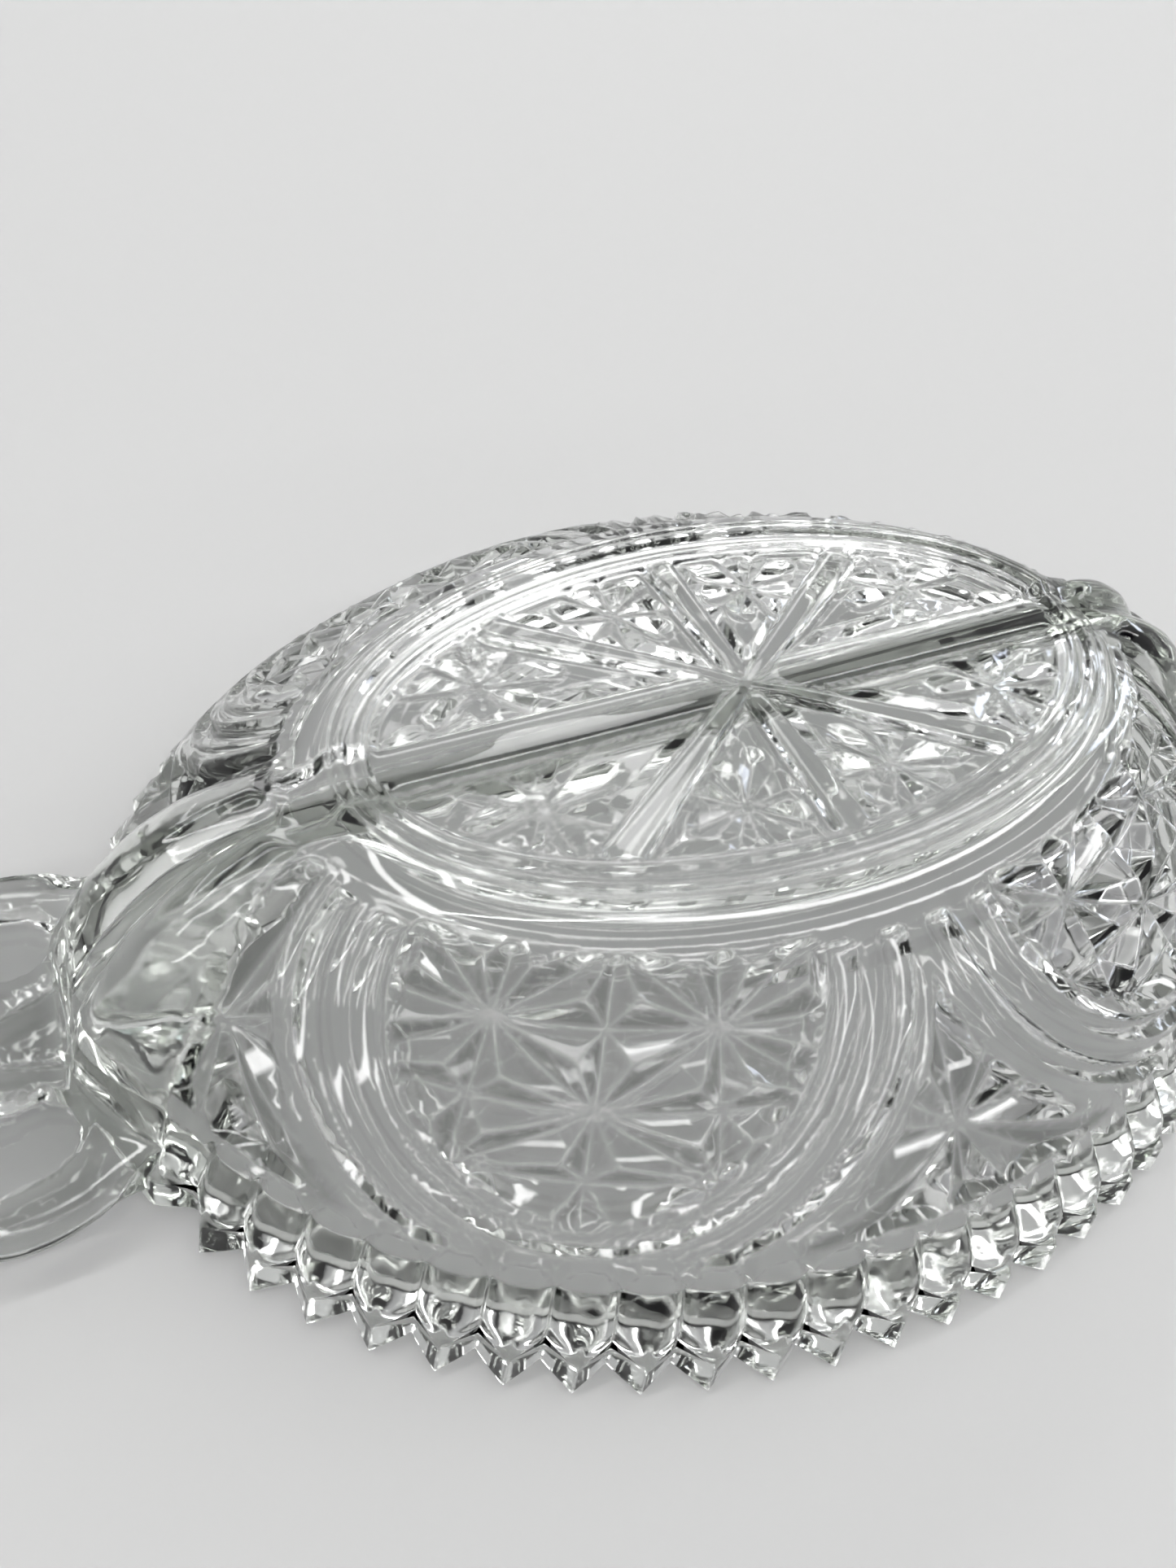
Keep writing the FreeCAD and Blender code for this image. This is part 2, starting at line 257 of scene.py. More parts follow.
MID_LENGTH, MID_WIDTH, _ = wall_oval(0.5)
ARCH_CENTRE = 49.2
STAR_PITCH = 16.4
STAR_ROWS = (1.04, 0.775, 0.55, 0.378, 0.2)
FACET_SLOPE = 0.95
FACET_HEIGHT = 3.3
BURST_SLOPE = 0.6
BURST_HEIGHT = 3.0
ARCH_FOOT = 0.205
FLUTE_END = 0.945
FLUTES = ((33.0, 0.289, 38.2, 0.235, 1.5), (42.3, 0.195, 47.6, 0.155, 1.6))
RIDGE = (38.2, 0.235, 42.3, 0.195, 0.35)
BORDER = (47.6, 0.155, 50.4, 0.13, 0.25)


def fold_angle(theta):
    """Angle from the middle of a long side to an end, the same in all four quarters."""
    return np.arctan2(np.abs(np.cos(theta)), np.abs(np.sin(theta)))


def along_wall(theta):
    """Arc along the middle of the wall from the middle of the nearer long side."""
    angle = np.linspace(0, np.pi / 2, 2001)
    x, y = MID_LENGTH * np.sin(angle), MID_WIDTH * np.cos(angle)
    arc = np.concatenate([[0], np.cumsum(np.hypot(np.diff(x), np.diff(y)))])
    return np.interp(fold_angle(theta), angle, arc)


def up_wall(s):
    """Length up the slope of the wall from the teeth to s."""
    t = np.linspace(-0.2, 1.2, 1401)
    length, width, height = wall_oval(t)
    slope = np.hypot(np.diff(height), np.diff((length + width) / 2))
    arc = np.concatenate([[0], np.cumsum(slope)])
    return np.interp(s, t, arc)


def star_cells():
    """Triangles between the stars of one arch: rows and columns of oblongs, each cut by a diagonal."""
    cells = []
    q = [float(up_wall(row)) for row in STAR_ROWS]
    for row in range(len(q) - 1):
        for column in range(-3, 3):
            left = ARCH_CENTRE + column * STAR_PITCH
            right = left + STAR_PITCH
            a, b, c, d = (left, q[row]), (right, q[row]), (right, q[row + 1]), (left, q[row + 1])
            cells += [(a, b, c), (a, c, d)] if (column + row) % 2 == 0 else [(a, b, d), (b, c, d)]
    return cells


def star_lines():
    """Grooves of one arch: the sides of its triangles."""
    return [start + end for a, b, c in star_cells() for start, end in ((a, b), (b, c), (a, c))]


def star_crests():
    """Ridges of one arch: from each triangle's corners to the point that is as far from all its sides."""
    crests = []
    for cell in star_cells():
        corners = np.array(cell)
        facing = np.linalg.norm(np.roll(corners, -1, 0) - np.roll(corners, -2, 0), axis=1)
        peak = facing @ corners / facing.sum()
        crests += [(*corner, *peak) for corner in cell]
    return crests


BURST_TURNS = (0, 38, 90, 142, 180, 218, 270, 322)
RIDGE_TURNS = (19, 64, 116, 161, 199, 244, 296, 341)
BURSTS = ((0.0, 0.82, 26), (0.0, 0.376, 30), (99.72, 0.425, 30))


def burst_lines(turns):
    """Lines at those angles from the stars outside the arches, which are at BURSTS: p, s and reach."""
    lines = []
    for p, s, reach in BURSTS:
        q = float(up_wall(s))
        lines += [(p, q, p + reach * math.cos(a), q + reach * math.sin(a)) for a in np.radians(turns)]
    return lines


def arch_level(p, s, half_width, foot):
    """Below 1 inside an arch of that half width and foot, 1 on it: an ellipse with upright legs."""
    drop = np.maximum(0, 1 - s) / (1 - foot)
    return np.hypot((p - ARCH_CENTRE) / half_width, drop)


def channel(p, s, inner_width, inner_foot, outer_width, outer_foot, depth):
    """Depth of a rounded channel between two arches, 0 at both edges and outside them."""
    past = arch_level(p, s, inner_width, inner_foot) - 1
    short = 1 - arch_level(p, s, outer_width, outer_foot)
    inside = (past > 0) & (short > 0)
    t = np.where(inside, past / np.maximum(past + short, 1e-9), 0)
    return np.where(inside, depth * (1 - (2 * t - 1) ** 2), 0)


# mean distance between grid points along and up the wall, and the share of it that a point may move
COLUMN_STEP, ROW_STEP, SNAP_SHARE = 0.75, 0.85, 0.6


def snapped(theta, s):
    """Moves grid points that are very near a groove or a ridge onto it, so that its edge is straight."""
    p, q = along_wall(theta), up_wall(s)
    inside = arch_level(p, s, FLUTES[0][0], FLUTES[0][1]) < 0.985
    outside = arch_level(p, s, BORDER[2], BORDER[3]) > 1.015
    star_p, star_q = nearest_line(p, q, star_lines() + star_crests())
    burst_p, burst_q = nearest_line(p, q, burst_lines(BURST_TURNS) + burst_lines(RIDGE_TURNS))
    step_p = np.where(inside, star_p, np.where(outside, burst_p, 1e3))
    step_q = np.where(inside, star_q, np.where(outside, burst_q, 1e3))
    per_s = (up_wall(s + 0.002) - up_wall(s - 0.002)) / 0.004
    for width, foot in (FLUTES[0][:2], FLUTES[0][2:4], FLUTES[1][:2], FLUTES[1][2:4], BORDER[2:4]):
        level = arch_level(p, s, width, foot)
        slope_p = (arch_level(p + 0.1, s, width, foot) - level) / 0.1
        slope_q = (arch_level(p, s + 0.002, width, foot) - level) / 0.002 / per_s
        steep = np.maximum(slope_p ** 2 + slope_q ** 2, 1e-9)
        closer = np.abs(1 - level) / np.sqrt(steep) < np.hypot(step_p, step_q)
        step_p = np.where(closer, (1 - level) * slope_p / steep, step_p)
        step_q = np.where(closer, (1 - level) * slope_q / steep, step_q)
    reach = SNAP_SHARE * np.maximum(COLUMN_STEP * np.abs(step_p), ROW_STEP * np.abs(step_q))
    near = (step_p ** 2 + step_q ** 2 < reach) & (s > ARCH_FOOT + 0.03) & (s < 0.96)
    fold = fold_angle(theta)
    per_angle = np.hypot(MID_LENGTH * np.cos(fold), MID_WIDTH * np.sin(fold))
    turn = -np.sign(np.cos(theta) * np.sin(theta))
    return (theta + np.where(near, turn * step_p / per_angle, 0), s + np.where(near, step_q / per_s, 0))


def arch_relief(theta, s):
    """Height of the pressed pattern above the smooth wall, never above it."""
    p = along_wall(theta)
    q = up_wall(s)
    stars = segment_distance(p, q, star_lines())
    field = np.minimum(FACET_HEIGHT, FACET_SLOPE * stars) - FACET_HEIGHT
    corner = segment_distance(p, q, burst_lines(BURST_TURNS))
    outside = np.minimum(BURST_HEIGHT, BURST_SLOPE * corner) - BURST_HEIGHT
    relief = field * smooth_step((1 - arch_level(p, s, FLUTES[0][0], FLUTES[0][1])) / 0.07)
    relief = relief + outside * smooth_step((arch_level(p, s, BORDER[2], BORDER[3]) - 1) / 0.05)
    open_top = 1 - smooth_step((s - FLUTE_END) / 0.03)
    for flute in FLUTES:
        relief = relief - channel(p, s, *flute) * open_top
    relief = relief - channel(p, s, *RIDGE) - channel(p, s, *BORDER)
    return relief * smooth_step((s - ARCH_FOOT) / 0.02) * smooth_step((1 - s) / 0.06)


# base colour of glass with no painted shade on it
PLAIN_TINT = 1.0


def painted_facet_shade(theta, s):
    """Painted shade of the pressed pattern: clear along every edge as a painted highlight line, and a
    painted grey on each face by the way it leans to the light.
    """
    p, q = along_wall(theta), up_wall(s)
    band = smooth_step((s - ARCH_FOOT) / 0.02) * smooth_step((1 - s) / 0.06)
    band = band * smooth_step((fan_share(theta, s) - 1) / 0.05)
    tint = PLAIN_TINT
    inside = smooth_step((1 - arch_level(p, s, FLUTES[0][0], FLUTES[0][1])) / 0.04)
    outside = smooth_step((arch_level(p, s, BORDER[2], BORDER[3]) - 1) / 0.04)
    for where, grooves, ridges in ((inside, star_lines(), star_crests()),
                                   (outside, burst_lines(BURST_TURNS), burst_lines(RIDGE_TURNS))):
        step_p, step_q = nearest_line(p, q, grooves)
        away = np.hypot(step_p, step_q)
        # how far each face leans towards a light at the upper right of the wall
        lean_to_light = (0.6 * step_p + 0.8 * step_q) / np.maximum(away, 1e-6)
        edge = np.minimum(away, segment_distance(p, q, ridges))
        # painted shade: faces leaning away from the light are greyer; painted highlight: clear within
        # about half a mm of every edge
        painted_face_shade = 0.60 + 0.22 * lean_to_light
        painted_face_shade = painted_face_shade + (1 - painted_face_shade) * np.exp(-(edge / 0.5) ** 2)
        tint = tint + (painted_face_shade - PLAIN_TINT) * where * band
    return tint


# --- End panels -------------------------------------------------------------------------------
# Over each handle the wall swells out smoothly and is plain: two rounded ribs with a hollow
# between them run from the foot down to the handle and spread like a fan.

FAN_FOOT = 7.0
FAN_RIM = 27.0
SWELL_AT = (0.0, 0.075, 0.2, 0.34, 0.55, 0.72, 0.85, 0.95, 1.0)
SWELL = (3.5, 4.8, 6.6, 7.8, 8.4, 7.8, 6.0, 3.4, 1.8)
SWELL_RIM, SWELL_FOOT = 27.0, 12.0
RIB_HEIGHT = 1.4
HOLLOW_DEPTH = 1.6


def fan_share(theta, s):
    """0 on the middle line of an end, 1 at the edge of its plain fan, more beyond it."""
    y = np.abs(wall_oval(s)[1] * np.sin(theta))
    half = FAN_RIM + (FAN_FOOT - FAN_RIM) * np.clip(s, 0, 1) ** 0.75
    return y / half


def fan_relief(share):
    """Profile across the fan: a hollow, then a round rib, then a thin groove at the edge."""
    hollow = -HOLLOW_DEPTH * (1 - smooth_step(share / 0.42))
    rib = RIB_HEIGHT * np.sin(np.pi * np.clip((share - 0.25) / 0.7, 0, 1))
    seam = -0.7 * np.exp(-((share - 1.0) / 0.05) ** 2)
    return hollow + rib + seam


def swelling(theta, s):
    """How far an end wall stands out, level, beyond the oval wall."""
    y = np.abs(wall_oval(s)[1] * np.sin(theta))
    half = SWELL_RIM + (SWELL_FOOT - SWELL_RIM) * np.clip(s, 0, 1)
    t = np.clip(y / half, 0, 1)
    return np.interp(s, SWELL_AT, SWELL) * (1 - t ** 2.2) ** 2


# --- Saw rim ----------------------------------------------------------------------------------
# The rim is cut into 26 upright teeth on each long side, by the mould. Each tooth carries on
# up the wall as a flat flute that runs out under a small arc.

TOOTH_DEPTH = 3.7
FLUTE_DEPTH = 2.0
FLUTE_STEP = 1.1
FLUTE_RUN = 0.2


def tooth_relief(s, valley):
    """Depth of the valleys between teeth up the wall; valley is 0 on a tooth's middle, 1 between two."""
    run_out = FLUTE_RUN - 0.045 * valley ** 2
    share = np.clip(s / run_out, 0, 1)
    flat = smooth_step(s / 0.06)
    depth = TOOTH_DEPTH + (FLUTE_DEPTH - TOOTH_DEPTH) * flat
    groove = valley + (valley ** 3 - valley) * flat
    return -(depth * groove + FLUTE_STEP * share) * (1 - smooth_step((s - run_out) / 0.012))


def end_fade(theta, toothed):
    """1 on the plain ends of the rim and 0 where the teeth begin, by the distance from the handle."""
    y = np.abs(HALF_WIDTH * np.sin(theta))
    return np.where(toothed, 0, 1 - smooth_step((y - 25.5) / 5.5))


def side_points(theta, s, valley, toothed):
    """Points of the wall at angles and stations, with the pattern pressed in square to the wall."""
    length, width, height = wall_oval(s)
    level = np.stack([np.cos(theta) / length, np.sin(theta) / width], -1)
    level /= np.linalg.norm(level, axis=-1, keepdims=True)
    rise = (WALL_TOP - TOOTH_HEIGHT) * (1 + WALL_BULGE * (1 - 2 * s))
    run = np.abs((length - FOOT_LENGTH) * np.cos(theta) * level[..., 0]
                 + (width - FOOT_WIDTH) * np.sin(theta) * level[..., 1]) / np.maximum(1 - s, 0.05)
    slant = np.hypot(rise, run)
    fan = fan_share(theta, s)
    plain = 1 - smooth_step((fan - 0.97) / 0.06)
    relief = arch_relief(theta, s) * (1 - plain)
    relief = relief + fan_relief(fan) * plain * smooth_step((1 - s) / 0.02 + 0.4)
    relief = relief + tooth_relief(s, valley) * (1 - end_fade(theta, toothed))
    out = swelling(theta, s)
    x = length * np.cos(theta) + level[..., 0] * (relief * rise / slant + out)
    y = width * np.sin(theta) + level[..., 1] * (relief * rise / slant + out)
    z = height + relief * run / slant
    return np.stack([x, y, z], -1)


def tooth_side_points(levels):
    """The upright sides of the teeth, one ring for each height, leaning out towards the rim plane."""
    rings = []
    for z in levels:
        inset = TOOTH_LEAN * z / TOOTH_HEIGHT
        depth = TOOTH_DEPTH * VALLEY * (1 - end_fade(THETA, in_teeth))
        out = swelling(THETA, 0.0) * (z / TOOTH_HEIGHT)
        level = np.stack([np.cos(THETA) / HALF_LENGTH, np.sin(THETA) / HALF_WIDTH], -1)
        level /= np.linalg.norm(level, axis=-1, keepdims=True)
        x = (HALF_LENGTH - inset) * np.cos(THETA) + level[:, 0] * (out - depth)
        y = (HALF_WIDTH - inset) * np.sin(THETA) + level[:, 1] * (out - depth)
        rings.append(np.stack([x, y, np.full(COLUMNS, z)], -1))
    return rings


# --- Foot ring and base -----------------------------------------------------------------------
# The foot is a low oval ring of thin beads outside the base, with a smooth hollow round it.
# Eight ribs cross the base, and a star of grooves is pressed between each two of them.

BASE_LENGTH, BASE_WIDTH = 57.8, 30.0
BASE_TOP = 46.2
# half length and half width past the base, and height, from the base out to the wall
RING_PROFILE = ((0.0, 0.0, 46.2), (0.6, 0.6, 46.3), (1.0, 1.0, 46.75), (1.5, 1.5, 46.8), (1.9, 2.2, 46.5),
                (2.7, 3.4, 46.6), (3.4, 4.2, 47.3), (4.0, 5.0, 47.5), (4.6, 5.6, 47.35),
                (5.0, 6.1, 46.9), (5.4, 6.6, 47.15), (5.9, 7.1, 47.1), (6.3, 7.6, 46.6),
                (7.2, 8.6, 45.6), (8.4, 9.9, 44.95), (9.8, 11.3, 44.55), (10.9, 12.3, 44.3))
RIB_LINES = ((57.0, 0.0, 4.3, 4.3), (0.0, 29.0, 1.6, 2.9), (31.4, 22.6, 1.4, 3.0))
BASE_STARS = ((38.6, 12.4, 10.5), (12.3, 21.2, 8.0))
BASE_FACET_SLOPE = 0.5
BASE_FACET_HEIGHT = 1.3
BASE_SNAP = 0.35
TROUGH_HALF_WIDTH = 5.6
TROUGH_DEPTH = 1.5


def rib_share(x, y, end_x, end_y, start_half, end_half):
    """0 on the middle line of a tapered rib from the base's middle, 1 on its edge."""
    length = math.hypot(end_x, end_y)
    t = np.clip((x * end_x + y * end_y) / length ** 2, 0, 1)
    distance = np.hypot(x - t * end_x, y - t * end_y)
    return distance / (start_half + (end_half - start_half) * t)


def base_star_lines():
    """Eight grooves from the middle of each star of one quarter of the base."""
    lines = []
    for star_x, star_y, reach in BASE_STARS:
        for step in range(8):
            a = math.radians(45 * step + 8)
            lines.append((star_x, star_y, star_x + reach * math.cos(a), star_y + reach * math.sin(a)))
    return lines


def base_height(x, y):
    """Height of the base's outer face at x, y, in all four quarters alike."""
    x, y = np.abs(x), np.abs(y)
    least = segment_distance(x, y, base_star_lines())
    edge = (1 - np.hypot(x / BASE_LENGTH, y / BASE_WIDTH)) * BASE_WIDTH
    shares = [rib_share(x, y, *line) for line in RIB_LINES]
    for line, share in zip(RIB_LINES, shares):
        least = np.minimum(least, np.abs(share - 1) * line[3])
    least = np.minimum(least, np.maximum(edge, 0) + 0.4)
    height = np.minimum(BASE_FACET_HEIGHT, BASE_FACET_SLOPE * least) - BASE_FACET_HEIGHT
    for share in shares:
        height = np.where(share < 1, -0.7 * share ** 4, height)
    middle = np.exp(-(x ** 2 + y ** 2) / 18.0)
    return BASE_TOP + height * smooth_step(edge / 0.8) - 0.5 * middle


def trough(x, y, z):
    """Lowers the foot ring where the end fans' hollow crosses it in line with the divider."""
    share = np.abs(y) / TROUGH_HALF_WIDTH
    past = smooth_step((np.abs(x) - 55) / 4)
    return z - TROUGH_DEPTH * past * (1 - smooth_step((share - 0.55) / 0.45))


# --- Compartments and divider -----------------------------------------------------------------
# Inside, the dish is two plain hollows, parted by a tapered wall down the middle of its length.
# The plunger of the press makes both, so their walls are smooth and their corners are round.

WALL_THICKNESS = 5.2
FLOOR_Z = 41.2
DIVIDER_EDGE = 1000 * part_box("divider")[0].z
DIVIDER_EDGE_HALF = 2.4
DIVIDER_ROOT_HALF = 3.4
ROOT_FILLET = 2.6
EDGE_STEPS = 4
CORNER_RADIUS, CORNER_RUN = 9.5, 2.5


def inner_oval(s):
    """The wall's oval moved in by the thickness of the glass."""
    length, width, height = wall_oval(s)
    rise = (WALL_TOP - TOOTH_HEIGHT) * (1 + WALL_BULGE * (1 - 2 * s))
    moved = []
    drop = 0.0
    for here, foot, rim in ((length, FOOT_LENGTH, wall_oval(0)[0]), (width, FOOT_WIDTH, wall_oval(0)[1])):
        run = rim - foot
        slant = math.hypot(rise, run)
        moved.append(here - WALL_THICKNESS * rise / slant)
        drop += WALL_THICKNESS * run / slant / 2
    return moved[0], moved[1], height - drop


def divider_half(z):
    """Half thickness of the divider at a height, with a fillet where it meets the floor."""
    share = np.clip((z - DIVIDER_EDGE) / (FLOOR_Z - DIVIDER_EDGE), 0, 1)
    flare = ROOT_FILLET * np.clip((z - FLOOR_Z + 5) / 5, 0, 1) ** 2
    return DIVIDER_EDGE_HALF + (DIVIDER_ROOT_HALF - DIVIDER_EDGE_HALF) * share + flare


def cavity_levels():
    """Ovals of the hollow from the mouth to the edge of the floor: half length, half width, height."""
    mouth = (HALF_LENGTH - TOOTH_DEPTH - WALL_THICKNESS + TOOTH_LEAN,
             HALF_WIDTH - TOOTH_DEPTH - WALL_THICKNESS + TOOTH_LEAN)
    low = [(mouth[0] - 0.3, mouth[1] - 0.3, 0.5), (mouth[0] - 0.5, mouth[1] - 0.5, 3.0)]
    walls = [inner_oval(s) for s in np.linspace(0.12, 0.86, 11)]
    last = walls[-1]
    corner = []
    for t in (0.25, 0.5, 0.75, 1.0):
        turn = t * math.pi / 2
        inward = CORNER_RADIUS * (1 - math.cos(turn)) + CORNER_RUN * t
        corner.append((last[0] - inward, last[1] - inward,
                       last[2] + (FLOOR_Z - last[2]) * math.sin(turn)))
    return low + walls + corner


# --- Handles ----------------------------------------------------------------------------------
# A two-lobed tab stands out level from each end, pressed with the dish. Each lobe has a long
# thumb-shaped hollow on top, and the tab's edges are round.

HANDLE_LOW, HANDLE_HIGH = (1000 * c.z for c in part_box("right_handle"))
HANDLE_TIP = 1000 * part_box("right_handle")[1].x
HANDLE_NECK = 25.7
HANDLE_MIDDLE = (HANDLE_LOW + HANDLE_HIGH) / 2
HANDLE_HALF = (HANDLE_HIGH - HANDLE_LOW) / 2
EDGE_RADIUS = 2.2
HANDLE_STEPS = 24
TIP_ACROSS = (0.0, 0.12, 0.247, 0.4, 0.57, 0.67, 0.77, 0.88, 0.96, 1.0)
TIP_SHORT = (8.3, 8.0, 6.8, 4.4, 2.0, 0.85, 0.55, 0.75, 1.5, 2.6)
SIDE_ALONG = (0.0, 0.15, 0.3, 0.45, 0.6, 0.75, 0.88, 1.0)
SIDE_HALF = (25.7, 26.9, 28.4, 29.4, 29.5, 28.8, 27.3, 24.6)
LOBE_HOLLOW = (109.6, 15.8, 115.2, 17.0, 6.9, 2.8)
LOBE_GROOVE = (104.0, 6.5, 117.0, 2.2)


def smooth_curve(x, xs, ys):
    """A smooth line through a few points: the straight steps are averaged over a short stretch."""
    offsets = np.linspace(-0.06, 0.06, 9)
    return np.mean([np.interp(np.clip(x + o, xs[0], xs[-1]), xs, ys) for o in offsets], axis=0)


def handle_rings(root, across, upright):
    """Loops of points from the handle's root to its tip, with their painted shade. across and upright are
    -1 to 1 round the root.
    """
    loops, painted_shades = [], []
    tip = HANDLE_TIP - 0.55 - smooth_curve(np.abs(across), TIP_ACROSS, TIP_SHORT)
    shares = np.concatenate([np.linspace(0, 0.8, HANDLE_STEPS - 8)[1:], np.linspace(0.8, 1, 10)[1:]])
    for v in shares:
        x = root[:, 0] + (tip - root[:, 0]) * v
        half = smooth_curve(np.array(v), SIDE_ALONG, SIDE_HALF)
        turn = smooth_step(v / 0.25)
        y = root[:, 1] * (1 - turn) + across * half * turn
        side = (1 - np.abs(across)) * half
        distance = np.minimum(np.minimum(side, (tip - root[:, 0]) * (1 - v)), EDGE_RADIUS)
        lift = HANDLE_HALF - EDGE_RADIUS + np.sqrt(EDGE_RADIUS ** 2 - (EDGE_RADIUS - distance) ** 2)
        on_side = np.abs(across) > 0.999
        y = y + np.where(on_side, np.sign(across) * 0.5 * (1 - upright ** 2) * turn, 0)
        z = HANDLE_MIDDLE + np.where(on_side, upright, np.sign(upright)) * (
            lift * turn + HANDLE_HALF * (1 - turn))
        x0, y0, x1, y1, half_width, depth = LOBE_HOLLOW
        hollow = segment_distance(x, np.abs(y), [(x0, y0, x1, y1)])
        dip = depth * (1 - smooth_step((hollow - half_width + 1.7) / 1.7))
        groove = segment_distance(x, np.abs(y), [LOBE_GROOVE])
        dip = dip + 1.3 * (1 - smooth_step(groove / 1.7))
        z = z - np.where(upright > 0.99, dip, 0)
        # painted shade: the handle is greyed by up to 0.28 past its root and left clear in the hollows of
        # its lobes
        painted_shades.append(1 - 0.28 * turn * (1 - dip / (dip.max() + 1e-9)))
        loops.append(np.stack([x, y, z], -1))
    last = loops[-1]
    for out, flat in ((0.35, 0.6), (0.55, 0.0)):
        ring = last.copy()
        ring[:, 0] += out
        ring[:, 1] = across * half + (last[:, 1] - across * half) * flat
        ring[:, 2] = HANDLE_MIDDLE + (last[:, 2] - HANDLE_MIDDLE) * flat
        loops.append(ring)
        painted_shades.append(painted_shades[-1])
    return loops, np.stack(painted_shades)


# --- The pressing -----------------------------------------------------------------------------
# All of these surfaces are joined into one closed skin, because the real dish is one casting
# of glass with no seams inside it.

class Skin:
    """Points, their painted shade and triangles of the skin as they are added."""

    def __init__(self):
        self.points = []
        self.painted_shades = []
        self.count = 0
        self.faces = []

    def add(self, points, tint=PLAIN_TINT):
        """Adds points with their painted shade, 1 for plain glass, and returns their numbers in the same
        shape.
        """
        flat = np.reshape(points, (-1, 3))
        start = self.count
        self.points.append(flat)
        self.painted_shades.append(np.broadcast_to(tint, np.shape(points)[:-1]).ravel())
        self.count += len(flat)
        return np.arange(start, self.count).reshape(np.shape(points)[:-1])

    def place(self, numbers):
        """Positions of points by number."""
        self.points = [np.concatenate(self.points)]
        return self.points[0][numbers]

    def grid(self, numbers, closed=True, cells=None, middles=None):
        """Two triangles for each cell of a grid, or for those marked in cells.

        The diagonal is the one that passes nearer the cell's true middle point, or the shorter one.
        """
        if closed:
            numbers = np.concatenate([numbers, numbers[:, :1]], 1)
        if cells is None:
            cells = np.ones((len(numbers) - 1, len(numbers[0]) - 1), bool)
        a, b = numbers[:-1, :-1][cells], numbers[:-1, 1:][cells]
        d, c = numbers[1:, :-1][cells], numbers[1:, 1:][cells]
        at = self.place(slice(None))
        if middles is None:
            first = np.linalg.norm(at[a] - at[c], axis=1) <= np.linalg.norm(at[b] - at[d], axis=1)
        else:
            true = middles[cells]
            first = (np.linalg.norm((at[a] + at[c]) / 2 - true, axis=1)
                     <= np.linalg.norm((at[b] + at[d]) / 2 - true, axis=1))
        for mask, triangles in ((first, ((a, b, c), (a, c, d))), (~first, ((a, b, d), (b, c, d)))):
            for triangle in triangles:
                self.faces.append(np.stack([corner[mask] for corner in triangle], -1))

    def halve(self, fine, coarse):
        """Joins a closed ring to one with half as many points."""
        coarse_next = np.roll(coarse, -1)
        even, odd, following = fine[0::2], fine[1::2], np.roll(fine, -2)[0::2]
        self.faces.append(np.stack([even, odd, coarse], -1))
        self.faces.append(np.stack([odd, coarse_next, coarse], -1))
        self.faces.append(np.stack([odd, following, coarse_next], -1))


skin = Skin()


def base_rings(shares, step):
    """Rings of the base at shares of its oval, with every step-th column."""
    theta = THETA[::step]
    rings = []
    for share in shares:
        x, y = BASE_LENGTH * share * np.cos(theta), BASE_WIDTH * share * np.sin(theta)
        step_x, step_y = nearest_line(np.abs(x), np.abs(y), base_star_lines())
        near = (np.hypot(step_x, step_y) < BASE_SNAP) & (share < 0.97)
        x = x + np.where(near, np.sign(x) * step_x, 0)
        y = y + np.where(near, np.sign(y) * step_y, 0)
        rings.append(np.stack([x, y, base_height(x, y)], -1))
    return np.stack(rings)


middle = skin.add(np.array([[0, 0, base_height(np.array(0.0), np.array(0.0))]]))
inner = skin.add(base_rings(np.linspace(0.02, 0.24, 8), 4))
skin.faces.append(np.stack([np.full(COLUMNS // 4, middle[0]), inner[0], np.roll(inner[0], -1)], -1))
skin.grid(inner)
between = skin.add(base_rings(np.linspace(0.27, 0.52, 11), 2))
skin.halve(between[0], inner[-1])
skin.grid(between)
outer = skin.add(base_rings(np.linspace(0.54, 1.0, 24), 1))
skin.halve(outer[0], between[-1])

ring_rows = []
for past_length, past_width, z in RING_PROFILE[1:]:
    x = (BASE_LENGTH + past_length) * np.cos(THETA)
    y = (BASE_WIDTH + past_width) * np.sin(THETA)
    ring_rows.append(np.stack([x, y, trough(x, y, np.full(COLUMNS, z))], -1))
foot_rows = skin.add(np.stack(ring_rows))

HANDLE_TOP_S = 0.0745
wall_s = np.concatenate([np.linspace(1.0, FLUTE_RUN + 0.04, 49),
                         np.linspace(FLUTE_RUN + 0.03, HANDLE_TOP_S, 9),
                         np.linspace(HANDLE_TOP_S, 0, 6)[1:]])
wall_theta, wall_station = snapped(*np.broadcast_arrays(THETA, wall_s[:, None]))
# the wall's points carry the pattern's painted shade and painted highlight lines
wall_rows = skin.add(side_points(wall_theta, wall_station, VALLEY, in_teeth),
                     painted_facet_shade(wall_theta, wall_station))


def cell_middles(grid):
    """Mean of the four corners of each cell of a closed grid."""
    pair = (grid + np.roll(grid, -1, 1)) / 2
    return (pair[:-1] + pair[1:]) / 2


